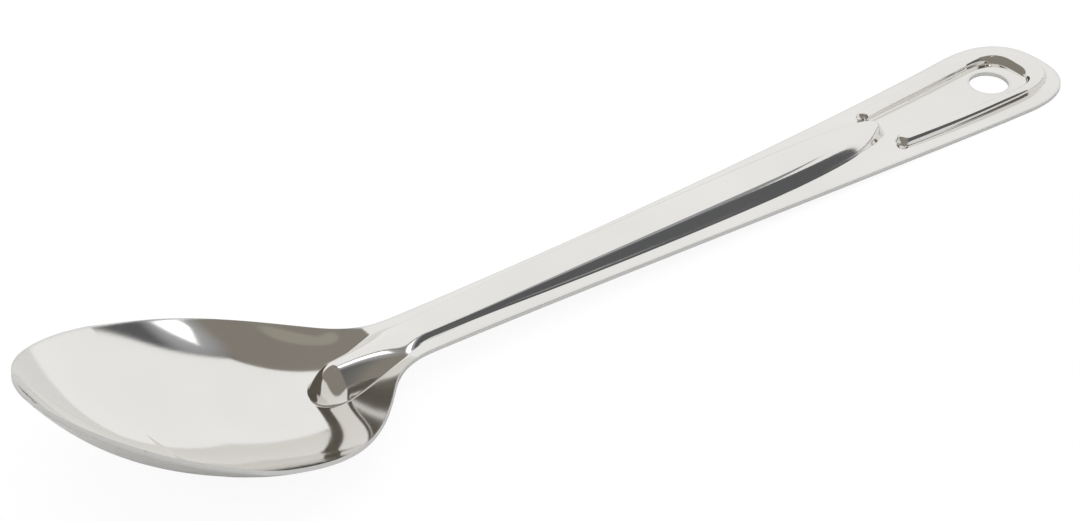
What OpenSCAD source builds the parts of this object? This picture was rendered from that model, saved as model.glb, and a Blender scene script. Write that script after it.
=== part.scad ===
// Serving spoon, one pressing of thin sheet: a deep tilted bowl, a throat with a raised
// tongue, a ribbed handle, and a flat hanging end with a raised bead round its hole.
// Length runs along X from the bowl's tip, width along Y, up is Z. Sizes in millimetres.

/* [Overall] */
// Length over all, bowl tip to tail end
overall_length = 330; // [300:1:360]
// Thickness of the sheet
sheet_thickness = 1.0; // [0.8:0.1:1.4]

/* [Bowl outline] */
// Width across the bowl
bowl_width = 72.7; // [66:0.1:80]
// Distance from the tip to the widest place
widest_from_tip = 43.7; // [39:0.1:48]
// Roundness of the outline from the tip to the widest place
tip_roundness_share = 1.53; // [1.4:0.01:2]
// Length of the curve that narrows the bowl behind its widest place
shoulder_length = 75.6; // [70:0.1:80]
// Fullness of the shoulder where it leaves the widest place
shoulder_fullness_share = 2.81; // [2.5:0.01:3.1]
// Hollowness of the shoulder where it comes to the neck
shoulder_hollow_share = 2.4; // [2.1:0.01:2.7]
// Size of the blend between shoulder and neck
neck_blend = 7.0; // [4:0.1:9]

/* [Bowl form] */
// Depth of the bowl below its rim
bowl_depth = 13.1; // [11:0.1:13.4]
// Distance from the tip to the deepest place
deepest_from_tip = 52.8; // [50:0.1:56]
// Distance from the tip to the place where the hollow runs out
hollow_end_from_tip = 108.2; // [105:0.1:111]
// Flatness of the floor towards the tip
floor_flatness_share = 3.43; // [2.8:0.01:3.8]
// Size of the blend where the hollow runs out into the neck
hollow_blend = 1.5; // [1:0.1:2.5]
// Rise of the rim from the neck to the tip above the line of the handle
tip_rise = 23.5; // [21:0.1:26]
// Distance from the tip to the place where the rim begins to rise
rise_start_from_tip = 108.6; // [105:0.1:112]
// Curvature of the rising rim
rise_curve_share = 2.08; // [1.8:0.01:2.3]

/* [Handle] */
// Width of the handle at the neck
neck_width = 16.3; // [14:0.1:18]
// Distance from the tip to the narrowest place
neck_from_tip = 112; // [110:0.5:114]
// Width of the handle at the hanging hole
tail_width = 31.5; // [28:0.1:34]
// Hollowness of the handle's widening sides
flare_share = 1.59; // [1.2:0.01:1.9]
// Height of the handle's edge at the neck above the table
neck_height = 8.0; // [7.4:0.1:9]
// Length of the tail end that lies flat on the table
flat_length = 28.3; // [26:0.1:32]
// Curvature of the handle's line seen from the side
sag_share = 1.42; // [1.3:0.01:1.55]
// Height of the gentle crown across the handle
crown_height = 1.1; // [0.6:0.1:1.5]
// Distance from the tip to the place where the crown begins
crown_start_from_tip = 106; // [104:0.5:110]
// Distance from the tip to the place where the crown is full
crown_full_from_tip = 136; // [126:1:146]
// Length over which the crown dies out before the flat end
crown_fade_length = 50; // [40:1:60]

/* [Rib and tongue] */
// Height of the rib above the handle
rib_height = 3.8; // [3:0.1:4.2]
// Width of the rib at its foot where it is widest
rib_width = 14.3; // [13:0.1:15]
// Width of the rib at its foot in the neck
rib_neck_width = 8.0; // [7.4:0.1:9]
// Swiftness with which the rib widens behind the neck
rib_widening_share = 1.7; // [1.4:0.1:2]
// Distance from the rib's rounded nose to the tail end
rib_end_from_tail = 59.4; // [58:0.1:62]
// Length over which the rib narrows to its nose
rib_nose_length = 45.6; // [40:0.1:50]
// Fullness of the rib's nose
rib_nose_fullness_share = 2.3; // [2:0.1:2.6]
// Width of the rib's rounded sides in the neck, for each unit of its height
neck_side_share = 1.0; // [0.8:0.05:1.2]
// Width of the rib's rounded sides where it is widest, for each unit of its height
rib_side_share = 1.35; // [1:0.05:1.6]
// Roundness of the rib's sides
rib_roundness_share = 3; // [2:0.1:4]
// Height of the tongue's level top above the table
tongue_height = 10.0; // [9.4:0.1:10.4]
// Roundness of the tongue's sides
tongue_roundness_share = 1.8; // [1.6:0.1:3]
// Fall of the top from the tongue to the rib in the neck
top_fall = 0.5; // [0:0.1:0.8]
// Width of the tongue at its foot
tongue_width = 12.2; // [11:0.1:13]
// Distance from the tip to the tongue's nose in the bowl
tongue_end_from_tip = 81; // [79:0.1:83]
// Length of the tongue's rounded nose
tongue_nose_length = 6.3; // [5:0.1:8]
// Distance from the tip to the place where the tongue begins to narrow
tongue_full_from_tip = 104; // [102:0.5:105]
// Length over which the tongue narrows to the rib
tongue_narrowing_length = 10; // [8:0.5:12]
// Size of the rounding between the tongue's level top and the rib's falling top
top_blend = 3; // [2:0.1:4]

/* [Hanging end] */
// Distance from the centre of the hanging hole to the tail end
hole_from_tail = 19.2; // [18.5:0.1:20.5]
// Diameter of the hanging hole
hole_diameter = 10.3; // [8:0.1:11]
// Fullness of the tail's rounded outline
tail_fullness_share = 2.53; // [2.1:0.01:2.8]
// Height of the raised bead
bead_height = 2; // [1.5:0.1:2.2]
// Squareness of the bead's section
bead_squareness_share = 4; // [2:0.1:4]
// Distance from the rounded ends of the bead's arms to the tail end
arms_from_tail = 60.7; // [59:0.1:62]
// Width over the bead at the ends of its arms
bead_outer_arm_width = 18.4; // [17.6:0.1:19]
// Width over the bead at the hole
bead_outer_hole_width = 21.7; // [21:0.1:22.4]
// Width of the panel between the arms' ends
bead_inner_arm_width = 9.8; // [9.4:0.1:10.4]
// Width of the panel at the hole
bead_inner_hole_width = 15.6; // [15:0.1:16]
// Swiftness with which the arms spread
arm_spread_share = 0.75; // [0.6:0.05:1]
// Reach of the bead's outer foot beyond the hole's centre
bead_outer_reach = 16.8; // [16.2:0.1:17.2]
// Reach of the panel beyond the hole's centre
bead_inner_reach = 9.5; // [9:0.1:10]
// Fullness of the bead's rounded end, outer foot
bead_outer_fullness_share = 2.7; // [2.3:0.1:2.9]
// Fullness of the bead's rounded end, inner foot
bead_inner_fullness_share = 3.1; // [2.7:0.1:3.3]

/* [Regions] */
// Distance from the tip to the border between bowl and neck
neck_border_from_tip = 99; // [96:1:102]
// Distance from the tip to the border between neck and handle shaft
shaft_border_from_tip = 128; // [124:1:134]
// Distance from the border between handle shaft and hanging end to the tail end
end_border_from_tail = 65; // [64:0.5:68]

/* [Fineness] */
// Steps from the tip to the bowl's widest place
tip_steps = 15; // [12:1:18]
// Steps from the widest place to the foot of the tongue
belly_steps = 12; // [8:1:14]
// Steps from the foot of the tongue to the neck
tongue_steps = 13; // [10:1:16]
// Steps along the neck
neck_steps = 18; // [12:1:22]
// Steps along the handle shaft
shaft_steps = 24; // [16:1:30]
// Steps along the ends of the bead's arms
arm_end_steps = 9; // [6:1:12]
// Steps along the bead's arms
arm_steps = 9; // [6:1:12]
// Steps round half of the hole
turn_steps = 24; // [16:2:28]
// Steps across half of the rib
inner_steps = 6; // [5:1:7]
// Steps from the rib's foot to the edge
outer_steps = 8; // [8:1:9]
// Steps from the bead's inner to its outer foot
bead_steps = 8; // [8:1:9]
// Steps from the bead's outer foot to the edge
flange_steps = 3; // [2:1:3]

/* [Hidden] */
steel = [0.79, 0.79, 0.77];
flat_from_tip = overall_length - flat_length;
hole_from_tip = overall_length - hole_from_tail;
arms_from_tip = overall_length - arms_from_tail;
rib_end_from_tip = overall_length - rib_end_from_tail;
end_border_from_tip = overall_length - end_border_from_tail;
tongue_row = tongue_end_from_tip - tongue_nose_length / 2;
half_steps = inner_steps + outer_steps;
panel_steps = half_steps - bead_steps - flange_steps;
columns = 2 * half_steps + 1;
slope_step = sheet_thickness / 5;
tiny = sheet_thickness / 1000;
pinch_share = 0.15;
bore_fineness = 96;

function clamp(t) = min(max(t, 0), 1);
function ramp(t) = (1 - cos(180 * clamp(t))) / 2;
function mix(a, b, t) = a + (b - a) * t;
function overlap(a, b, blend) = pow(max(blend - abs(a - b), 0), 2) / (4 * blend);
function blended_max(a, b, blend) = max(a, b) + overlap(a, b, blend);
function blended_min(a, b, blend) = min(a, b) - overlap(a, b, blend);

// half width of the outline at the distance s from the tip
function tip_half(s) =
    bowl_width / 2 * sqrt(1 - pow(clamp(1 - s / widest_from_tip), tip_roundness_share));
function shoulder_half(s) =
    bowl_width / 2 * pow(1 - pow(clamp((s - widest_from_tip) / shoulder_length),
                                 shoulder_fullness_share), shoulder_hollow_share);
function handle_share(s) = clamp((s - neck_from_tip) / (hole_from_tip - neck_from_tip));
function handle_half(s) = mix(neck_width, tail_width, pow(handle_share(s), flare_share)) / 2;
function half_width(s) =
    s < widest_from_tip ? tip_half(s) : blended_max(shoulder_half(s), handle_half(s), neck_blend);

// height of the edge above the table
function handle_line(s) =
    sheet_thickness + (neck_height - sheet_thickness)
    * pow(max((flat_from_tip - s) / (flat_from_tip - neck_from_tip), 0), sag_share);
function edge_z(s) =
    handle_line(s)
    + tip_rise * pow(max((rise_start_from_tip - s) / rise_start_from_tip, 0), rise_curve_share);

// hollow of the bowl and crown of the handle
function front_hollow(s) =
    1 - pow(abs(deepest_from_tip - s) / deepest_from_tip, floor_flatness_share);
function rear_hollow(s) =
    1 - pow((s - deepest_from_tip) / (hollow_end_from_tip - deepest_from_tip), 2);
function hollow(s) =
    s < deepest_from_tip ? bowl_depth * front_hollow(s)
    : blended_max(bowl_depth * rear_hollow(s), 0, hollow_blend);
function crown(s) =
    crown_height
    * ramp((s - crown_start_from_tip) / (crown_full_from_tip - crown_start_from_tip))
    * ramp((flat_from_tip - s) / crown_fade_length);
function plain_z(s, y) =
    let(r = min(abs(y) / max(half_width(s), tiny), 2))
    edge_z(s) + (crown(s) - hollow(s)) * (1 - r * r);

// rib on the handle, going over into the tongue in the bowl
function tongue_share(s) = 1 - ramp((s - tongue_full_from_tip) / tongue_narrowing_length);
function level_top(s) = tongue_height - top_fall * (1 - tongue_share(s));
function top_height(s) =
    max(blended_min(handle_line(s) + crown(s) + rib_height, level_top(s), top_blend)
        - plain_z(s, 0), 0);
function rib_share(s) =
    clamp((s - neck_from_tip) / (rib_end_from_tip - rib_nose_length - neck_from_tip));
function rib_line(s) =
    mix(rib_neck_width, rib_width, 1 - pow(1 - rib_share(s), rib_widening_share)) / 2;
function rib_half(s) = mix(rib_line(s), tongue_width / 2, tongue_share(s));
function side_width(s) =
    max(mix(min(top_height(s) * mix(neck_side_share, rib_side_share, rib_share(s)), rib_half(s)),
            rib_half(s), tongue_share(s)),
        tiny);
function side_roundness(s) = mix(rib_roundness_share, tongue_roundness_share, tongue_share(s));
function past_nose(s) =
    max(tongue_end_from_tip + tongue_nose_length - s, s - rib_end_from_tip + rib_nose_length, 0);
function nose_length(s) = s < neck_from_tip ? tongue_nose_length : rib_nose_length;
function nose_fullness(s) = s < neck_from_tip ? 2 : rib_nose_fullness_share;
function foot_distance(s, y) =
    let(n = nose_fullness(s),
        across = pow(abs(y) / rib_half(s), n),
        along = pow(past_nose(s) / nose_length(s), n),
        sum = across + along,
        r = pow(sum, 1 / n))
    sum < 0.001 ? rib_half(s)
    : (1 - r) * sum / r / norm([across / max(abs(y), tiny), along / max(past_nose(s), tiny)]);
function rib_z(s, y) =
    let(d = foot_distance(s, y))
    d > 0 ? top_height(s) * (1 - pow(max(1 - d / side_width(s), 0), side_roundness(s))) : 0;

// raised bead round the hanging hole: distances of its feet, beside and beyond the hole
function superellipse(a, b, fullness, turn) =
    pow(pow(abs(cos(turn)) / a, fullness) + pow(abs(sin(turn)) / b, fullness), -1 / fullness);
function arm_share(s) =
    pow(clamp((s - arms_from_tip) / (hole_from_tip - arms_from_tip)), arm_spread_share);
function outer_foot(s) = mix(bead_outer_arm_width, bead_outer_hole_width, arm_share(s)) / 2;
function inner_foot(s) = mix(bead_inner_arm_width, bead_inner_hole_width, arm_share(s)) / 2;
function outer_turn(turn) =
    superellipse(bead_outer_reach, bead_outer_hole_width / 2, bead_outer_fullness_share, turn);
function inner_turn(turn) =
    superellipse(bead_inner_reach, bead_inner_hole_width / 2, bead_inner_fullness_share, turn);
function edge_turn(turn) =
    superellipse(hole_from_tail, tail_width / 2, tail_fullness_share, turn);
function bead_cut(inner, outer, d) =
    let(t = abs(2 * d - inner - outer) / (outer - inner))
    t < 1 ? bead_height * (1 - pow(t, bead_squareness_share)) : 0;
function arm_z(s, y) =
    let(middle = (inner_foot(s) + outer_foot(s)) / 2,
        half = (outer_foot(s) - inner_foot(s)) / 2,
        ahead = max(arms_from_tip + half - s, 0),
        d = norm([abs(y) - middle, ahead]))
    ahead > 0 ? bead_cut(-half, half, d) : bead_cut(inner_foot(s), outer_foot(s), abs(y));
function turn_z(s, y) =
    let(turn = atan2(abs(y), s - hole_from_tip),
        d = norm([s - hole_from_tip, y]))
    bead_cut(inner_turn(turn), outer_turn(turn), d);
function bead_z(s, y) =
    s < hole_from_tip ? (s > arms_from_tip ? arm_z(s, y) : 0) : turn_z(s, y);

// upper and lower surface of the sheet
function top_z(s, y) = plain_z(s, y) + rib_z(s, y) + bead_z(s, y);
function steepness(z, s, y) =
    norm([z(s + slope_step, y) - z(s - slope_step, y),
          z(s, y + slope_step) - z(s, y - slope_step)]) / (2 * slope_step);
function under_z(z, s, y) = z(s, y) - sheet_thickness * norm([1, steepness(z, s, y)]);
function bottom_z(s, y) =
    max(under_z(function(a, b) top_z(a, b), s, y), under_z(function(a, b) plain_z(a, b), s, y));
function top_point(p) = [p[0] - overall_length / 2, p[1], top_z(p[0], p[1])];
function bottom_point(p) = [p[0] - overall_length / 2, p[1], bottom_z(p[0], p[1])];

// places of the grid's columns at the distance s, counted from the middle to the edge
function even_place(s, k) = half_width(s) * k / half_steps;
function foot_line(s) =
    let(n = nose_fullness(s))
    rib_half(s) * pow(max(1 - pow(past_nose(s) / nose_length(s), n), pinch_share), 1 / n);
function rib_place(s, k) =
    k < inner_steps ? foot_line(s) * sin(90 * k / inner_steps)
    : mix(foot_line(s), half_width(s), (k - inner_steps) / outer_steps);
function bead_place(inner, outer, edge, k) =
    k < panel_steps ? inner * k / panel_steps
    : k < panel_steps + bead_steps ? mix(inner, outer, ramp((k - panel_steps) / bead_steps))
    : mix(outer, edge, (k - panel_steps - bead_steps) / flange_steps);
function place(s, k) =
    s < arms_from_tip
    ? mix(mix(even_place(s, k), rib_place(s, k),
              ramp((s - widest_from_tip) / (tongue_row - widest_from_tip))),
          bead_place(inner_foot(s), outer_foot(s), half_width(s), k),
          ramp((s - end_border_from_tip) / (arms_from_tip - end_border_from_tip)))
    : bead_place(inner_foot(s), outer_foot(s), half_width(s), k);
function row(s) = [for (k = [-half_steps:half_steps]) [s, sign(k) * place(s, abs(k))]];
function rows(from, to, steps, first = 0) =
    [for (i = [first:steps]) row(mix(from, to, i / steps))];

// rows of the rounded tip: a square grid laid into a half round
function tip_point(u, v) =
    let(x = u * sqrt(1 - v * v / 2),
        y = v * sqrt(1 - u * u / 2),
        spread = x < 1 ? sqrt((1 - pow(x, tip_roundness_share)) / (1 - x * x))
                       : sqrt(tip_roundness_share / 2))
    [widest_from_tip * (1 - x), bowl_width / 2 * y * spread];
function tip_rows() =
    [for (i = [0:tip_steps - 1])
        [for (k = [-half_steps:half_steps]) tip_point(1 - i / tip_steps, k / half_steps)]];

// faces between rows of equal length, and the loop round them
function cell(a, b, c, d) = [[a, b, c], [a, c, d]];
function grid_faces(rows_count) =
    [for (i = [0:rows_count - 2], k = [0:columns - 2])
        each cell(i * columns + k, (i + 1) * columns + k,
                  (i + 1) * columns + k + 1, i * columns + k + 1)];
function grid_loop(rows_count) =
    concat([for (k = [0:columns - 1]) columns - 1 - k],
           [for (i = [1:rows_count - 1]) i * columns],
           [for (k = [1:columns - 1]) (rows_count - 1) * columns + k],
           [for (i = [1:rows_count - 2]) (rows_count - 1 - i) * columns + columns - 1]);

// closes the sheet: upper faces, lower faces turned over, and a wall along the loop
module sheet(points, faces, loop) {
    count = len(points);
    turns = len(loop);
    lower = [for (f = faces) [for (i = f) i + count]];
    walls = [for (i = [0:turns - 1])
        let(a = loop[i], b = loop[(i + 1) % turns])
        each cell(a, b, b + count, a + count)];
    polyhedron(
        points = concat([for (p = points) top_point(p)], [for (p = points) bottom_point(p)]),
        faces = concat([for (f = faces) [f[2], f[1], f[0]]], lower, walls),
        convexity = 6);
}

module sheet_rows(grid) {
    sheet([for (line = grid) each line], grid_faces(len(grid)), grid_loop(len(grid)));
}

module bowl() {
    color(steel)
    sheet_rows(concat(
        tip_rows(),
        rows(widest_from_tip, tongue_row, belly_steps),
        rows(tongue_row, neck_border_from_tip, tongue_steps, 1)));
}

module neck() {
    color(steel)
    sheet_rows(rows(neck_border_from_tip, shaft_border_from_tip, neck_steps));
}

module handle_shaft() {
    color(steel)
    sheet_rows(rows(shaft_border_from_tip, end_border_from_tip, shaft_steps));
}

// the flat end: rows up to the hole's centre, then rays that turn round it
module end_sheet() {
    arm_round_end = arms_from_tip + (bead_outer_arm_width - bead_inner_arm_width) / 4;
    straight = concat(
        rows(end_border_from_tip, arm_round_end, arm_end_steps),
        rows(arm_round_end, hole_from_tip, arm_steps, 1));
    count = len(straight);
    rays = [for (m = [1:turn_steps - 1])
        let(turn = 90 - 180 * m / turn_steps)
        [for (k = [1:half_steps])
            let(d = bead_place(inner_turn(turn), outer_turn(turn), edge_turn(turn), k))
            [hole_from_tip + d * cos(turn), d * sin(turn)]]];
    last = (count - 1) * columns + half_steps;
    sheet(
        concat([for (line = straight) each line], [for (ray = rays) each ray]),
        concat(grid_faces(count), turn_faces(count, last)),
        end_loop(count, last));
}
function ray_index(count, last, m, k) =
    k == 0 ? last
    : m == 0 ? last + k
    : m == turn_steps ? last - k
    : count * columns + (m - 1) * half_steps + k - 1;
function turn_faces(count, last) =
    [for (m = [0:turn_steps - 1])
        each concat(
            [[last, ray_index(count, last, m + 1, 1), ray_index(count, last, m, 1)]],
            [for (k = [1:half_steps - 1])
                each cell(ray_index(count, last, m, k), ray_index(count, last, m + 1, k),
                          ray_index(count, last, m + 1, k + 1), ray_index(count, last, m, k + 1))])];
function end_loop(count, last) =
    concat([for (k = [0:columns - 1]) columns - 1 - k],
           [for (i = [1:count - 1]) i * columns],
           [for (m = [1:turn_steps - 1]) ray_index(count, last, turn_steps - m, half_steps)],
           [for (i = [0:count - 2]) (count - 1 - i) * columns + columns - 1]);

module hanging_end() {
    color(steel)
    difference() {
        end_sheet();
        translate([hole_from_tip - overall_length / 2, 0, -sheet_thickness])
            cylinder(h = 4 * sheet_thickness, d = hole_diameter, $fn = bore_fineness);
    }
}

bowl();
neck();
handle_shaft();
hanging_end();
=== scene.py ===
import bmesh
import bpy
import numpy as np
from mathutils import Matrix, Vector


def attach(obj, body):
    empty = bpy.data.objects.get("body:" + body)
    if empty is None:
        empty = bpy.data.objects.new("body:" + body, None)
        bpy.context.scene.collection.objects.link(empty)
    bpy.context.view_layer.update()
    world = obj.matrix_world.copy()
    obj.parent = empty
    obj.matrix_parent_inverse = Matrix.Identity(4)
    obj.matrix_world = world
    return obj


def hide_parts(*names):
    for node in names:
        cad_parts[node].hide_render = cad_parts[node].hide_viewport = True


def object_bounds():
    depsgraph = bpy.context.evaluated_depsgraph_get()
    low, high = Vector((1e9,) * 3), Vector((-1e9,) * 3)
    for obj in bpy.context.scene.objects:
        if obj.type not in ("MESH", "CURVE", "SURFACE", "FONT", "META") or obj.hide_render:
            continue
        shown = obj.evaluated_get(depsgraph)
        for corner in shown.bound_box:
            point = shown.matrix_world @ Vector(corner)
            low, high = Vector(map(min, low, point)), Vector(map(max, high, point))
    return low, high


MM = 0.001

# the pressed form, in millimetres, with the values of the part's source; places along the
# spoon are counted from the bowl's tip
LENGTH = 330.0
SHEET = 1.0

# the bowl's outline
BOWL_WIDTH = 72.7
WIDEST = 43.7
TIP_ROUNDNESS = 1.53
SHOULDER_LENGTH = 75.6
SHOULDER_FULLNESS = 2.81
SHOULDER_HOLLOW = 2.4
NECK_BLEND = 7.0

# the bowl's hollow and the rise of its rim
BOWL_DEPTH = 13.1
DEEPEST = 52.8
HOLLOW_END = 108.2
FLOOR_FLATNESS = 3.43
HOLLOW_BLEND = 1.5
TIP_RISE = 23.5
RISE_START = 108.6
RISE_CURVE = 2.08

# the handle
NECK_WIDTH = 16.3
NECK = 112.0
TAIL_WIDTH = 31.5
FLARE = 1.59
NECK_HEIGHT = 8.0
FLAT = LENGTH - 28.3
SAG = 1.42
CROWN = 1.1
CROWN_START = 106.0
CROWN_FULL = 136.0
CROWN_FADE = 50.0

# the rib on the handle
RIB_HEIGHT = 3.8
RIB_WIDTH = 14.3
RIB_NECK_WIDTH = 8.0
RIB_WIDENING = 1.7
RIB_END = LENGTH - 59.4
RIB_NOSE = 45.6
NOSE_FULLNESS = 2.3
RIB_SIDE = 1.35
NECK_SIDE = 1.0
RIB_ROUNDNESS = 3

# the tongue in the bowl's heel
TONGUE_ROUNDNESS = 1.8
TONGUE_HEIGHT = 10.0
TONGUE_FALL = 0.5
TONGUE_WIDTH = 12.2
TONGUE_END = 81.0
TONGUE_NOSE = 6.3
TONGUE_NOSE_FULLNESS = 2
TONGUE_FULL = 104.0
TONGUE_NARROWING = 10.0
TOP_BLEND = 3.0

# the hanging end, its hole and its bead
HOLE = LENGTH - 19.2
HOLE_DIAMETER = 10.3
TAIL_FULLNESS = 2.53
BEAD_HEIGHT = 2.0
BEAD_SQUARENESS = 4
ARMS = LENGTH - 60.7
OUTER_ARM = 18.4
OUTER_HOLE = 21.7
INNER_ARM = 9.8
INNER_HOLE = 15.6
ARM_SPREAD = 0.75
OUTER_REACH = 16.8
INNER_REACH = 9.5
OUTER_FULL = 2.7
INNER_FULL = 3.1

# where each named length of the spoon ends
BORDERS = {"bowl": 99.0, "neck": 128.0, "handle_shaft": LENGTH - 65.0, "hanging_end": LENGTH}

# what the scene adds: rounded edges and soft feet of rib and bead
ROUNDED = 0.3
ROUNDED_STEPS = 3
SHARP_ANGLE = 0.9
FOOT_BLEND = 0.35
BEAD_BLEND = 0.35
EDGE_BAND = 0.7

# how finely the sheet is divided
COLUMNS = 84
TIP_ROWS = 76
ROW_RUNS = [(78.0, 60), (90.0, 48), (99.0, 18), (128.0, 58), (222.0, 130), (252.0, 60),
            (265.0, 60), (272.0, 50)]
ARM_ROWS = 66
PANEL_ROWS = 22
PANEL_ROW = 0.3
TURN_RAYS = 140
HOLE_COLUMNS = 19
HOLE_RINGS = 7
HOLE_PANEL = 12
RIM = 0.45
ORDER_STEP = 10000
RIB_COLUMNS_FROM, RIB_COLUMNS_IN = 60, 22
RIB_COLUMNS_TO, RIB_COLUMNS_OUT = 262, 26
BEAD_COLUMNS_FROM, BEAD_COLUMNS_IN = 258, 11
RIB_STOP, FOOT_STOP = 0.42, 0.68
BEAD_IN_STOP, BEAD_OUT_STOP = 0.26, 0.82

# the steel's finish: its tones, and how much marks, haze and the ground edge dull or raise it
PALE_STEEL = (0.795, 0.782, 0.755, 1)
DULL_STEEL = (0.76, 0.746, 0.716, 1)
GROUND_STEEL = (0.66, 0.655, 0.64, 1)
MARK_DULLING = 0.07
HAZE_DULLING = 0.10
GROUND_DULLING = 0.22
MARK_RELIEF = 0.5
GRAIN_RELIEF = 0.35

# the studio: where the steel finds the lamp and the pane, and the tones of the unlit side
LAMP_SIDE = (0.521, -0.301, 0.799)
PANE_SIDE = (-0.14, -0.36, 0.92)
WHITE = (1.0, 1.0, 1.0, 1)
FRONT_TONE = (0.115, 0.118, 0.125, 1)
BACK_TONE = (0.27, 0.25, 0.22, 1)
TWICE_TONE = (0.13, 0.118, 0.10, 1)
PANE_TONE = (0.40, 0.38, 0.32, 1)
HALO_TONE = (0.42, 0.43, 0.45, 1)


def ramp(t):
    """A soft rise from 0 to 1."""
    return (1 - np.cos(np.pi * np.clip(t, 0, 1))) / 2


def mix(a, b, t):
    return a + (b - a) * t


def overlap(a, b, blend):
    """What a soft crossing of two heights adds to the greater one."""
    return np.maximum(blend - np.abs(a - b), 0) ** 2 / (4 * blend)


def half_width(s):
    """Half the spoon's width at a place along it."""
    tip = BOWL_WIDTH / 2 * np.sqrt(1 - np.clip(1 - s / WIDEST, 0, 1) ** TIP_ROUNDNESS)
    t = np.clip((s - WIDEST) / SHOULDER_LENGTH, 0, 1)
    shoulder = BOWL_WIDTH / 2 * (1 - t ** SHOULDER_FULLNESS) ** SHOULDER_HOLLOW
    h = mix(NECK_WIDTH, TAIL_WIDTH, np.clip((s - NECK) / (HOLE - NECK), 0, 1) ** FLARE) / 2
    rear = np.maximum(shoulder, h) + overlap(shoulder, h, NECK_BLEND)
    return np.where(s < WIDEST, tip, rear)


def handle_line(s):
    """Height of the handle's plain top, which runs on under the bowl's rim."""
    return SHEET + (NECK_HEIGHT - SHEET) * np.maximum((FLAT - s) / (FLAT - NECK), 0) ** SAG


def edge_z(s):
    """Height of the sheet's edge."""
    return handle_line(s) + TIP_RISE * np.maximum((RISE_START - s) / RISE_START, 0) ** RISE_CURVE


def hollow(s):
    """Depth of the bowl in its middle line."""
    front = BOWL_DEPTH * (1 - np.abs((DEEPEST - s) / DEEPEST) ** FLOOR_FLATNESS)
    rear = BOWL_DEPTH * (1 - ((s - DEEPEST) / (HOLLOW_END - DEEPEST)) ** 2)
    return np.where(s < DEEPEST, front, np.maximum(rear, 0) + overlap(rear, 0, HOLLOW_BLEND))


def crown(s):
    """How far the handle's middle line stands over its edges."""
    rise = ramp((s - CROWN_START) / (CROWN_FULL - CROWN_START))
    return CROWN * rise * ramp((FLAT - s) / CROWN_FADE)


def plain_z(s, y):
    """Top of the sheet without rib, tongue and bead."""
    r = np.minimum(np.abs(y) / np.maximum(half_width(s), SHEET / 1000), 2)
    return edge_z(s) + (crown(s) - hollow(s)) * (1 - r * r)


def top_height(s):
    """Height of rib or tongue over the plain sheet, in the middle line."""
    a = handle_line(s) + crown(s) + RIB_HEIGHT
    b = mix(TONGUE_HEIGHT - TONGUE_FALL, TONGUE_HEIGHT, tongue_share(s))
    level = np.minimum(a, b) - overlap(a, b, TOP_BLEND)
    return np.maximum(level - plain_z(s, 0 * s), 0)


def tongue_share(s):
    """1 on the tongue and 0 on the rib."""
    return 1 - ramp((s - TONGUE_FULL) / TONGUE_NARROWING)


def rib_share(s):
    """0 at the neck and 1 where the rib's nose begins."""
    return np.clip((s - NECK) / (RIB_END - RIB_NOSE - NECK), 0, 1)


def rib_half(s):
    line = mix(RIB_NECK_WIDTH, RIB_WIDTH, 1 - (1 - rib_share(s)) ** RIB_WIDENING) / 2
    return mix(line, TONGUE_WIDTH / 2, tongue_share(s))


def past_nose(s):
    """How far a place lies beyond the start of either nose."""
    return np.maximum(np.maximum(TONGUE_END + TONGUE_NOSE - s, s - RIB_END + RIB_NOSE), 0)


def nose_length(s):
    return np.where(s < NECK, TONGUE_NOSE, RIB_NOSE)


def nose_fullness(s):
    return np.where(s < NECK, TONGUE_NOSE_FULLNESS, NOSE_FULLNESS)


def foot_distance(s, y):
    """Distance of a place on rib or tongue from their foot, negative outside."""
    n, past = nose_fullness(s), past_nose(s)
    across = (np.abs(y) / rib_half(s)) ** n
    along = (past / nose_length(s)) ** n
    total = np.maximum(across + along, 1e-4)
    r = total ** (1 / n)
    slope = np.hypot(across / np.maximum(np.abs(y), 1e-3), along / np.maximum(past, 1e-3))
    return np.where(total < 1e-3, rib_half(s), (1 - r) * total / r / np.maximum(slope, 1e-6))


def rib_z(s, y):
    """Height of rib and tongue over the plain sheet."""
    height = top_height(s)
    side = np.minimum(height * mix(NECK_SIDE, RIB_SIDE, rib_share(s)), rib_half(s))
    side = mix(side, rib_half(s), tongue_share(s))
    roundness = mix(RIB_ROUNDNESS, TONGUE_ROUNDNESS, tongue_share(s))
    d = np.maximum(foot_distance(s, y) / np.maximum(side, SHEET / 1000), -1)
    rise = height * (1 - np.maximum(1 - d, 0) ** roundness)
    return np.maximum(rise, 0) + overlap(rise, 0, FOOT_BLEND)


def superellipse(a, b, n, turn):
    """Reach of a rounded oblong in one direction."""
    return ((np.abs(np.cos(turn)) / a) ** n + (np.abs(np.sin(turn)) / b) ** n) ** (-1 / n)


def bead_cut(inner, outer, d):
    """Height of the bead across its width."""
    t = np.minimum(np.abs(2 * d - inner - outer) / (outer - inner), 2)
    rise = BEAD_HEIGHT * (1 - t ** BEAD_SQUARENESS)
    return np.maximum(rise, 0) + overlap(rise, 0, BEAD_BLEND)


def arm_share(s):
    return np.clip((s - ARMS) / (HOLE - ARMS), 0, 1) ** ARM_SPREAD


def bead_z(s, y):
    """Height of the U-shaped bead over the flat end."""
    outer = mix(OUTER_ARM, OUTER_HOLE, arm_share(s)) / 2
    inner = mix(INNER_ARM, INNER_HOLE, arm_share(s)) / 2
    middle, half = (inner + outer) / 2, (outer - inner) / 2
    ahead = np.maximum(ARMS + half - s, 0)
    d = np.hypot(np.abs(y) - middle, ahead)
    arm = np.where(ahead > 0, bead_cut(-half, half, d), bead_cut(inner, outer, np.abs(y)))
    turn = np.arctan2(np.abs(y), s - HOLE)
    bend = bead_cut(
        superellipse(INNER_REACH, INNER_HOLE / 2, INNER_FULL, turn),
        superellipse(OUTER_REACH, OUTER_HOLE / 2, OUTER_FULL, turn),
        np.hypot(s - HOLE, y),
    )
    return np.where(s < HOLE, arm, bend)


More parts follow.
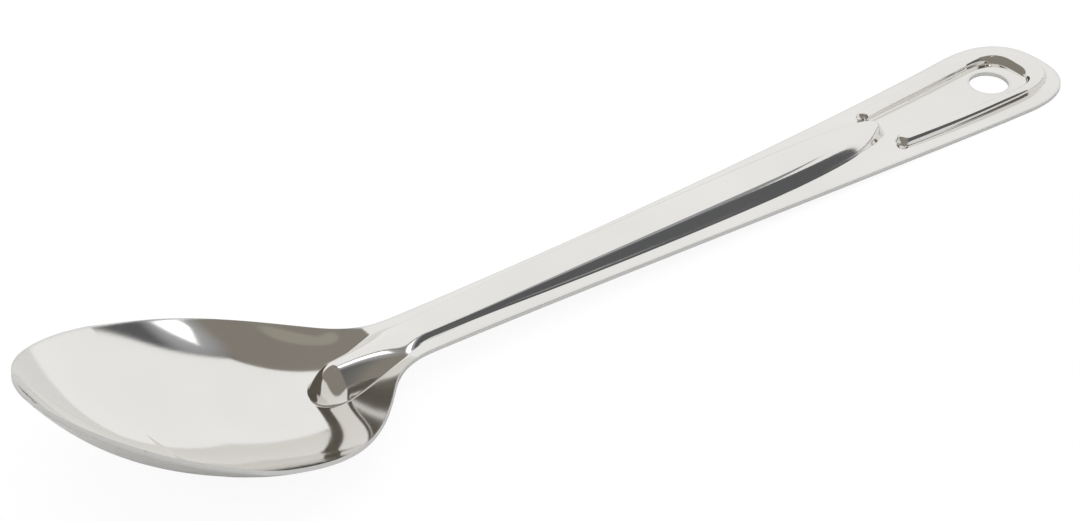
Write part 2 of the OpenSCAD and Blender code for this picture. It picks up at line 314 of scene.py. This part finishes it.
def top_z(s, y):
    return plain_z(s, y) + rib_z(s, y) + bead_z(s, y)


def slopes(z, s, y, e=0.2):
    return (z(s + e, y) - z(s - e, y)) / (2 * e), (z(s, y + e) - z(s, y - e)) / (2 * e)


def under_z(z, s, y):
    """The surface one sheet's thickness below another, measured square to it."""
    gx, gy = slopes(z, s, y)
    return z(s, y) - SHEET * np.sqrt(1 + gx * gx + gy * gy)


def bottom_z(s, y):
    return np.maximum(under_z(top_z, s, y), under_z(plain_z, s, y))


def row_starts():
    """Place along the spoon of every row between the widest place and the hole."""
    rows, start = [np.array([WIDEST])], WIDEST
    for end, count in ROW_RUNS + [(HOLE - PANEL_ROWS * PANEL_ROW, ARM_ROWS), (HOLE, PANEL_ROWS)]:
        rows.append(np.linspace(start, end, count + 1)[1:])
        start = end
    return np.concatenate(rows)


def spread(w, stops):
    """Shares of the way out, laid between the stops, evenly from one stop to the next."""
    place = 0.0
    for (w0, a), (w1, b) in zip(stops, stops[1:]):
        place = place + (b - a) * np.clip((w - w0) / (w1 - w0), 0, 1)
    return place


def bead_place(w, inner, outer, edge):
    """Columns that crowd on the bead."""
    return spread(w, [(0, 0.0), (BEAD_IN_STOP, inner - 0.25), (BEAD_OUT_STOP, outer + 0.25),
                      (1, edge)])


def column_place(s, w):
    """Distance from the middle of a column that stands for the share w of the way out."""
    edge = half_width(s) - RIM
    foot = rib_half(s)
    rib = spread(w, [(0, 0.0), (RIB_STOP, foot - 1.3), (FOOT_STOP, foot + 0.5), (1, edge)])
    outer = mix(OUTER_ARM, OUTER_HOLE, arm_share(s)) / 2
    inner = mix(INNER_ARM, INNER_HOLE, arm_share(s)) / 2
    on_rib = ramp((s - RIB_COLUMNS_FROM) / RIB_COLUMNS_IN)
    on_rib = on_rib * ramp((RIB_COLUMNS_TO - s) / RIB_COLUMNS_OUT)
    on_bead = ramp((s - BEAD_COLUMNS_FROM) / BEAD_COLUMNS_IN)
    return mix(mix(edge * w, rib, on_rib), bead_place(w, inner, outer, edge), on_bead)


def round_off(u, v):
    """A square's corner turned into a round end, u ahead and v across."""
    return u * np.sqrt(1 - v * v / 2), v * np.sqrt(1 - u * u / 2)


def tip_place(dx, dy):
    """A place in the half circle, laid into the tip's outline."""
    x = np.minimum(dx, 0.999999)
    stretch = np.sqrt((1 - x ** TIP_ROUNDNESS) / (1 - x ** 2))
    return WIDEST * (1 - dx), BOWL_WIDTH / 2 * dy * stretch


def sheet_plan(i, j):
    """Plan place of the grid's point in row i and column j."""
    rows = row_starts()
    edge = np.abs(j) == COLUMNS
    w = np.where(edge, 1.0, np.abs(j) / (COLUMNS - 1))
    v = np.sign(j) * w

    # the rounded tip: one row and one column fewer inside, for a narrow band along the outline
    inner = ~(edge | (i == 0))
    u = np.clip(1 - i / TIP_ROWS, 0, 1)
    u = np.where(inner, np.minimum(u * TIP_ROWS / (TIP_ROWS - 1), 1), u)
    dx, dy = round_off(u, v)
    turn = np.maximum(np.hypot(dx, dy), 1e-9)
    st, yt = tip_place(dx, dy)
    se, ye = tip_place(dx / turn, dy / turn)
    reach = np.maximum(np.hypot(se - WIDEST, ye), RIM)
    keep = np.where(inner, 1 - RIM / reach, 1)
    st, yt = WIDEST + (st - WIDEST) * keep, yt * keep

    place = rows[np.clip(i - TIP_ROWS, 0, len(rows) - 1)]
    y = np.sign(j) * np.where(edge, half_width(place), column_place(place, w))
    tip = i < TIP_ROWS
    return np.where(tip, st, place), np.where(tip, yt, y)


def grid_places(bm, n_rows, n_columns):
    """Row and column of every point of a fresh grid, both counted from 0."""
    flat = np.array([v.co[:] for v in bm.verts])
    return (np.rint((flat[:, 0] + 1) / 2 * n_rows).astype(int),
            np.rint((flat[:, 1] + 1) / 2 * n_columns).astype(int))


def turned_end():
    """The flat end beyond the hole's middle: rays that turn round the hole, laid from a grid."""
    bm = bmesh.new()
    rays, steps = TURN_RAYS - 2, COLUMNS - HOLE_COLUMNS
    bmesh.ops.create_grid(bm, x_segments=rays, y_segments=steps, size=1)
    ray, k = grid_places(bm, rays, steps)
    turn = np.pi * ((ray + 1) / TURN_RAYS - 0.5)
    outline = superellipse(LENGTH - HOLE, TAIL_WIDTH / 2, TAIL_FULLNESS, turn)
    reach = bead_place(
        (k + HOLE_COLUMNS) / (COLUMNS - 1),
        superellipse(INNER_REACH, INNER_HOLE / 2, INNER_FULL, turn),
        superellipse(OUTER_REACH, OUTER_HOLE / 2, OUTER_FULL, turn),
        outline - RIM,
    )
    reach = np.where(k == steps, outline, reach)
    for vert, r, a in zip(bm.verts, reach, turn):
        vert.co = (HOLE + r * np.cos(a), r * np.sin(a), 0)
    return bm


def along_ray(bm, share, side):
    """Open edges that lie on one ray from the hole's middle, square to the spoon or near it."""
    turn = side * np.pi * (0.5 - share)
    across = Vector((np.sin(turn), -np.cos(turn), 0))
    middle = Vector((HOLE, 0, 0))
    return [e for e in bm.edges if e.is_boundary and
            all(abs((v.co - middle).dot(across)) < 1e-3 and v.co.y * side > 1 for v in e.verts)]


def ring_the_hole(bm):
    """Rings of faces from the turned end's inner border to the hole's edge."""
    middle = Vector((HOLE, 0, 0))
    ring = [e for e in bm.edges if e.is_boundary and
            max((v.co - middle).length for v in e.verts) < HOLE_PANEL]
    for left in reversed(range(HOLE_RINGS)):
        made = bmesh.ops.extrude_edge_only(bm, edges=ring)["geom"]
        ring = [g for g in made if isinstance(g, bmesh.types.BMEdge) and g.is_boundary]
        to_edge = HOLE_DIAMETER / 2 + RIM * (left > 0)
        for vert in {v for e in ring for v in e.verts}:
            d = Vector((vert.co.x - HOLE, vert.co.y, 0))
            reach = d.length + (to_edge - d.length) / max(left, 1)
            vert.co.x, vert.co.y = HOLE + d.x / d.length * reach, d.y / d.length * reach


def put_in_order(bm):
    """Edges and faces in an order by their place, because extruding gives them in no fixed one."""
    def rank(middle):
        return middle.x * ORDER_STEP + middle.y

    bm.edges.sort(key=lambda e: rank((e.verts[0].co + e.verts[1].co) / 2))
    bm.faces.sort(key=lambda f: rank(f.calc_center_median()))


def pressed_layer(surface):
    """One face of the sheet: a grid up to the hole, rays round it, and rings about the hole."""
    bm = bmesh.new()
    n_rows = TIP_ROWS + len(row_starts()) - 1
    bmesh.ops.create_grid(bm, x_segments=n_rows, y_segments=2 * COLUMNS, size=1)
    i, j = grid_places(bm, n_rows, 2 * COLUMNS)
    j = j - COLUMNS
    near = (i > n_rows - PANEL_ROWS) & (np.abs(j) < HOLE_COLUMNS)
    s, y = sheet_plan(i, j)
    for vert, a, b in zip(bm.verts, s, y):
        vert.co = (a, b, 0)
    bmesh.ops.delete(bm, geom=[v for v, inside in zip(bm.verts, near) if inside], context="VERTS")
    add_to(bm, turned_end(), False)
    for side in (1, -1):
        edges = along_ray(bm, 0, side) + along_ray(bm, 1 / TURN_RAYS, side)
        bmesh.ops.bridge_loops(bm, edges=edges)
    ring_the_hole(bm)
    put_in_order(bm)
    s = np.array([v.co.x for v in bm.verts])
    y = np.array([v.co.y for v in bm.verts])
    for vert, h in zip(bm.verts, surface(s, y)):
        vert.co.z = h
    bmesh.ops.recalc_face_normals(bm, faces=bm.faces)
    return bm


def add_to(target, source, flip):
    """Copies one bmesh into another."""
    mesh = bpy.data.meshes.new("layer")
    if flip:
        bmesh.ops.reverse_faces(source, faces=source.faces)
    source.to_mesh(mesh)
    target.from_mesh(mesh)
    bpy.data.meshes.remove(mesh)
    source.free()


def spoon_sheet(box):
    """The whole pressed sheet, closed, with rounded edges, in metres and inside the box."""
    bm = bmesh.new()
    add_to(bm, pressed_layer(top_z), False)
    add_to(bm, pressed_layer(bottom_z), True)
    rim = [e for e in bm.edges if e.is_boundary]
    middle = Vector((HOLE, 0, SHEET / 2))
    at_hole = [e for e in rim if (e.verts[0].co - middle).length < HOLE_DIAMETER]
    outline = [e for e in rim if e not in set(at_hole)]
    for loops in (outline, at_hole):
        bmesh.ops.bridge_loops(bm, edges=loops)
    bmesh.ops.recalc_face_normals(bm, faces=bm.faces)
    sharp = [e for e in bm.edges
             if len(e.link_faces) == 2 and e.calc_face_angle(0) > SHARP_ANGLE]
    bmesh.ops.bevel(bm, geom=sharp, offset=ROUNDED, offset_type="OFFSET",
                    segments=ROUNDED_STEPS, profile=0.5, affect="EDGES", material=-1,
                    clamp_overlap=True)
    low, high = box
    for vert in bm.verts:
        vert.co = Vector((vert.co.x - LENGTH / 2, vert.co.y, vert.co.z)) * MM
        vert.co.z = min(max(vert.co.z, low[2]), high[2])
        vert.co.y = min(max(vert.co.y, low[1]), high[1])
    return bm


def cut_length(bm, start, end):
    """One named length of the sheet, closed at its borders, and its end faces."""
    part = bm.copy()
    for border, side in ((start, 1), (end, -1)):
        if 0 < border < LENGTH:
            x = (border - LENGTH / 2) * MM
            out = [f for f in part.faces if side * (f.calc_center_median().x - x) < 0]
            bmesh.ops.delete(part, geom=out, context="FACES")
    open_edges = [e for e in part.edges if e.is_boundary]
    ends = bmesh.ops.holes_fill(part, edges=open_edges, sides=0)["faces"]
    return part, bmesh.ops.triangulate(part, faces=ends)["faces"]


def shaded_length(name, part, ends):
    """The length as an object, shaded as the whole sheet is, with flat end faces."""
    for face in part.faces:
        face.smooth = True
    part.normal_update()
    part.faces.index_update()
    for face in ends:
        face.smooth = False
    flat = {face.index for face in ends}
    mesh = bpy.data.meshes.new(name)
    part.to_mesh(mesh)
    part.free()
    whole = mesh.attributes["whole_normal"].data
    normals = []
    for poly in mesh.polygons:
        for k in poly.loop_indices:
            if poly.index in flat:
                normals.append(poly.normal[:])
            else:
                normals.append(whole[mesh.loops[k].vertex_index].vector[:])
    mesh.normals_split_custom_set(normals)
    mesh.attributes.remove(mesh.attributes["whole_normal"])
    piece = bpy.data.objects.new(name + "_polished", mesh)
    bpy.context.scene.collection.objects.link(piece)
    return piece


def cut_regions(bm):
    """The sheet parted at the named borders."""
    bm.normal_update()
    shade = bm.verts.layers.float_vector.new("whole_normal")
    for vert in bm.verts:
        vert[shade] = vert.normal
    pieces = {}
    start = 0.0
    for name, end in BORDERS.items():
        pieces[name] = shaded_length(name, *cut_length(bm, start, end))
        start = end
    bm.free()
    return pieces


def detail_group(name, wanted, given):
    """A node group with named inputs and outputs."""
    group = bpy.data.node_groups.new(name, "ShaderNodeTree")
    for socket, kind, value in wanted:
        made = group.interface.new_socket(socket, in_out="INPUT", socket_type=kind)
        if value is not None:
            made.default_value = value
    for socket, kind in given:
        group.interface.new_socket(socket, in_out="OUTPUT", socket_type=kind)
    return group, group.nodes.new("NodeGroupInput"), group.nodes.new("NodeGroupOutput")


def linked(tree, kind, wires, **settings):
    """A new node with its settings made and its inputs linked or given values."""
    made = tree.nodes.new(kind)
    for name, value in settings.items():
        setattr(made, name, value)
    for socket, value in wires.items():
        if isinstance(value, bpy.types.NodeSocket):
            tree.links.new(value, made.inputs[socket])
        else:
            made.inputs[socket].default_value = value
    return made


def polish_group():
    """Fine polishing marks along the spoon, tumbled grain, handling haze and a ground edge."""
    number, vector = "NodeSocketFloat", "NodeSocketVector"
    group, given, taken = detail_group(
        "polished_sheet",
        [("Place", vector, None), ("Edge", number, 0.0), ("Mark Width", number, 0.00035),
         ("Mark Length", number, 0.03), ("Grain Size", number, 0.0012),
         ("Haze Size", number, 0.03), ("Smoothness", number, 0.06)],
        [("Color", "NodeSocketColor"), ("Roughness", number), ("Height", number)],
    )
    place = given.outputs["Place"]

    def math(operation, a, b, clamp=False):
        return linked(group, "ShaderNodeMath", {0: a, 1: b}, operation=operation,
                      use_clamp=clamp).outputs[0]

    def noise(size, detail, stretched=None):
        scale = math("DIVIDE", 1.0, size)
        where = place
        if stretched is not None:
            along = math("DIVIDE", size, stretched)
            shape = linked(group, "ShaderNodeCombineXYZ", {"X": along, "Y": 1.0, "Z": 1.0})
            where = linked(group, "ShaderNodeVectorMath", {0: place, 1: shape.outputs[0]},
                           operation="MULTIPLY").outputs[0]
        return linked(group, "ShaderNodeTexNoise",
                      {"Vector": where, "Scale": scale, "Detail": detail}).outputs["Fac"]

    marks = noise(given.outputs["Mark Width"], 2.0, given.outputs["Mark Length"])
    grain = noise(given.outputs["Grain Size"], 3.0)
    haze = noise(given.outputs["Haze Size"], 2.0)
    patchy = math("ADD", 0.8, math("MULTIPLY", grain, 0.3))
    worn = math("MULTIPLY", given.outputs["Edge"], patchy, True)

    soft = math("MULTIPLY", math("SUBTRACT", marks, 0.35, True), MARK_DULLING)
    hazy = math("MULTIPLY", math("SUBTRACT", haze, 0.4, True), HAZE_DULLING)
    rough = math("ADD", given.outputs["Smoothness"], math("ADD", soft, hazy))
    rough = math("ADD", rough, math("MULTIPLY", worn, GROUND_DULLING))
    group.links.new(rough, taken.inputs["Roughness"])

    lines = math("MULTIPLY", math("SUBTRACT", marks, 0.5), MARK_RELIEF)
    pits = math("MULTIPLY", math("SUBTRACT", grain, 0.5), GRAIN_RELIEF)
    group.links.new(math("ADD", lines, pits), taken.inputs["Height"])

    tone = linked(group, "ShaderNodeValToRGB", {"Fac": haze})
    tone.color_ramp.elements[0].position = 0.3
    tone.color_ramp.elements[0].color = DULL_STEEL
    tone.color_ramp.elements[1].position = 0.7
    tone.color_ramp.elements[1].color = PALE_STEEL
    edge = linked(group, "ShaderNodeMix", {"Factor": worn, 6: tone.outputs[0],
                                           7: GROUND_STEEL}, data_type="RGBA")
    group.links.new(edge.outputs[2], taken.inputs["Color"])
    return group


def polished_steel():
    """Mirror-polished stainless steel with fine marks and a duller ground edge."""
    steel = bpy.data.materials.new("polished_stainless_steel")
    steel.use_nodes = True
    tree = steel.node_tree
    shader = tree.nodes["Principled BSDF"]
    shader.inputs["Metallic"].default_value = 1
    place = linked(tree, "ShaderNodeTexCoord", {})
    edge = linked(tree, "ShaderNodeAttribute", {}, attribute_name="edge_share")
    detail = linked(tree, "ShaderNodeGroup", {}, node_tree=polish_group())
    tree.links.new(place.outputs["Object"], detail.inputs["Place"])
    tree.links.new(edge.outputs["Fac"], detail.inputs["Edge"])
    relief = linked(tree, "ShaderNodeBump", {"Strength": 0.35, "Distance": 0.000012,
                                             "Height": detail.outputs["Height"]})
    tree.links.new(detail.outputs["Color"], shader.inputs["Base Color"])
    tree.links.new(detail.outputs["Roughness"], shader.inputs["Roughness"])
    tree.links.new(relief.outputs["Normal"], shader.inputs["Normal"])
    return steel


def mark_edges(piece):
    """How near each point lies to the sheet's edge or the hole's, from 1 at it to 0 inside."""
    mesh = piece.data
    place = np.empty(len(mesh.vertices) * 3)
    mesh.vertices.foreach_get("co", place)
    s, y = place[0::3] / MM + LENGTH / 2, place[1::3] / MM
    away = np.hypot(s - HOLE, y)
    turn = np.arctan2(np.abs(y), s - HOLE)
    turn = np.clip(turn, 0, np.pi / 2)
    end = superellipse(LENGTH - HOLE, TAIL_WIDTH / 2, TAIL_FULLNESS, turn) - away
    side = half_width(np.clip(s, SHEET / 1000, LENGTH)) - np.abs(y)
    # at the very tip the edge lies ahead and not beside
    inside = np.where(s > HOLE, end, np.minimum(side, s + 3 * np.abs(y) / BOWL_WIDTH))
    inside = np.minimum(inside, away - HOLE_DIAMETER / 2)
    share = mesh.attributes.new("edge_share", "FLOAT", "POINT")
    share.data.foreach_set("value", np.clip(1 - inside / EDGE_BAND, 0, 1))


def studio_world():
    """A white room with an unlit side behind the camera that only the steel sees."""
    world = bpy.data.worlds.new("studio")
    bpy.context.scene.world = world
    world.use_nodes = True
    tree = world.node_tree
    tree.nodes.clear()
    place = linked(tree, "ShaderNodeTexCoord", {}).outputs["Generated"]
    split = linked(tree, "ShaderNodeSeparateXYZ", {0: place})

    def ranged(value, low, high):
        return linked(tree, "ShaderNodeMapRange",
                      {"Value": value, "From Min": low, "From Max": high},
                      interpolation_type="SMOOTHSTEP").outputs["Result"]

    def math(operation, a, b):
        return linked(tree, "ShaderNodeMath", {0: a, 1: b}, operation=operation).outputs[0]

    def mixed(share, a, b):
        return linked(tree, "ShaderNodeMix", {"Factor": share, 6: a, 7: b},
                      data_type="RGBA").outputs[2]

    def near(side, low, high):
        toward = linked(tree, "ShaderNodeVectorMath", {0: place, 1: side},
                        operation="DOT_PRODUCT")
        return ranged(toward.outputs["Value"], low, high)

    x, y, z = split.outputs
    path = linked(tree, "ShaderNodeLightPath", {})
    once = math("LESS_THAN", path.outputs["Glossy Depth"], 1.5)
    twice = math("SUBTRACT", 1.0, once)

    # the unlit side that the steel mirrors straight away
    front = ranged(y, -0.09, -0.13)
    toward_back = math("ADD", x, math("MULTIPLY", y, 0.8))
    back = math("MULTIPLY", ranged(toward_back, 0.34, 0.30), ranged(z, 0.12, 0.22))
    straight = math("MULTIPLY", math("MAXIMUM", front, back), once)

    # less of it is seen by way of another place of the steel
    far = math("MULTIPLY", ranged(y, 0.15, 0.22), ranged(x, 0.08, 0.02))
    heel = math("MULTIPLY", ranged(x, 0.24, 0.225), ranged(x, 0.03, 0.06))
    heel = math("MAXIMUM", heel, ranged(x, 0.262, 0.275))
    heel = math("MULTIPLY", heel, ranged(y, -0.10, -0.14))
    around = math("MULTIPLY", math("MAXIMUM", far, heel), twice)
    unlit = math("MULTIPLY", math("MAXIMUM", straight, around), ranged(z, 0.01, 0.06))

    shade = mixed(ranged(x, 0.55, 0.30), FRONT_TONE, BACK_TONE)
    pane = math("MULTIPLY", near(PANE_SIDE, 0.9915, 0.9945), 0.7)
    shade = mixed(pane, shade, PANE_TONE)
    shade = mixed(near(LAMP_SIDE, 0.965, 0.998), shade, HALO_TONE)
    shade = mixed(twice, shade, TWICE_TONE)
    room = mixed(unlit, WHITE, shade)
    seen = mixed(path.outputs["Is Glossy Ray"], WHITE, room)
    back = linked(tree, "ShaderNodeBackground", {"Color": seen})
    out = linked(tree, "ShaderNodeOutputWorld", {})
    tree.links.new(back.outputs[0], out.inputs["Surface"])


def soft_lamp(name, middle, turn, size, glow):
    """A soft lamp that hangs over the spoon and shows in the steel as a bright patch."""
    data = bpy.data.lights.new(name, "AREA")
    data.shape = "RECTANGLE"
    data.size, data.size_y = size
    data.energy = np.pi * data.size * data.size_y * glow
    lamp = bpy.data.objects.new(name, data)
    lamp.location = middle
    lamp.rotation_euler = (np.pi / 2, 0, np.radians(turn))
    bpy.context.scene.collection.objects.link(lamp)


def flat_sheet(name, place, material):
    """A staged flat sheet, 2 m square before it is laid in its place."""
    bm = bmesh.new()
    bmesh.ops.create_grid(bm, x_segments=1, y_segments=1, size=1)
    bmesh.ops.transform(bm, matrix=place, verts=bm.verts)
    mesh = bpy.data.meshes.new(name)
    bm.to_mesh(mesh)
    bm.free()
    sheet = bpy.data.objects.new(name, mesh)
    bpy.context.scene.collection.objects.link(sheet)
    mesh.materials.append(material)


def white_card(name, x, left, right, low, high):
    """A white card across the room beyond the hanging end; only the steel sees it."""
    card = bpy.data.materials.new("white_card")
    card.use_nodes = True
    tree = card.node_tree
    glow = linked(tree, "ShaderNodeEmission", {"Color": WHITE, "Strength": 1.0})
    clear = linked(tree, "ShaderNodeBsdfTransparent", {})
    path = linked(tree, "ShaderNodeLightPath", {})
    both = linked(tree, "ShaderNodeMixShader", {0: path.outputs["Is Glossy Ray"],
                                                1: clear.outputs[0], 2: glow.outputs[0]})
    tree.links.new(both.outputs[0], tree.nodes["Material Output"].inputs["Surface"])
    size = Matrix.Diagonal((1, (right - left) / 2, (high - low) / 2, 1))
    upright = Matrix(((0, 0, 1, 0), (0, 1, 0, 0), (-1, 0, 0, 0), (0, 0, 0, 1)))
    middle = Matrix.Translation((x, (left + right) / 2, (low + high) / 2))
    flat_sheet(name, middle @ size @ upright, card)


def pale_floor():
    """White paper under the spoon: the camera sees it nearly evenly lit, with a faint shadow."""
    paper = bpy.data.materials.new("pale_paper")
    paper.use_nodes = True
    tree = paper.node_tree
    shader = tree.nodes["Principled BSDF"]
    shader.inputs["Base Color"].default_value = (0.8, 0.8, 0.8, 1)
    shader.inputs["Roughness"].default_value = 1
    shader.inputs["Specular IOR Level"].default_value = 0
    glow = linked(tree, "ShaderNodeEmission", {"Color": WHITE, "Strength": 1.06})
    path = linked(tree, "ShaderNodeLightPath", {})
    share = linked(tree, "ShaderNodeMath", {0: path.outputs["Is Camera Ray"], 1: 0.85},
                   operation="MULTIPLY")
    both = linked(tree, "ShaderNodeMixShader", {0: share.outputs[0], 1: shader.outputs[0],
                                                2: glow.outputs[0]})
    tree.links.new(both.outputs[0], tree.nodes["Material Output"].inputs["Surface"])
    flat_sheet("floor", Matrix.Diagonal((6, 6, 1, 1)), paper)


def camera():
    """The photo's view, fitted to the spoon's outline, hole and bead."""
    data = bpy.data.cameras.new("camera")
    data.sensor_width = 36
    data.lens = 163.127
    data.clip_start = 0.01
    data.clip_end = 50
    eye = bpy.data.objects.new("camera", data)
    right = Vector((0.739691, -0.671712, 0.040752))
    up = Vector((0.347621, 0.433250, 0.831537))
    forward = Vector((0.576209, 0.600914, -0.553972))
    turn = Matrix((right, up, -forward)).transposed().to_4x4()
    turn.translation = Vector((-692.198, -708.297, 664.679)) * MM
    eye.matrix_world = turn
    bpy.context.scene.collection.objects.link(eye)
    bpy.context.scene.camera = eye


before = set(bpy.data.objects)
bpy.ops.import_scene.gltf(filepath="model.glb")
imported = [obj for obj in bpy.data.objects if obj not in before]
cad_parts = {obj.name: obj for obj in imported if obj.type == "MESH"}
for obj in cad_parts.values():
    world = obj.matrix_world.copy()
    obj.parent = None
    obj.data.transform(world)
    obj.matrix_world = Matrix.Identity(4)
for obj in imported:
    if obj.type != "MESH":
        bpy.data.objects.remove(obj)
cad_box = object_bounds()
bpy.context.scene.view_settings.view_transform = "Standard"
steel = polished_steel()
for node_name, piece in cut_regions(spoon_sheet(cad_box)).items():
    piece.data.materials.append(steel)
    mark_edges(piece)
    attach(piece, "root")
    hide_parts(node_name)
studio_world()
white_card("tail_card", x=0.34, left=-0.19, right=0.21, low=0.02, high=0.285)
soft_lamp("overhead_lamp", middle=(0.186, -0.140, 0.4475), turn=59, size=(0.09, 0.18), glow=1.3)
pale_floor()
camera()
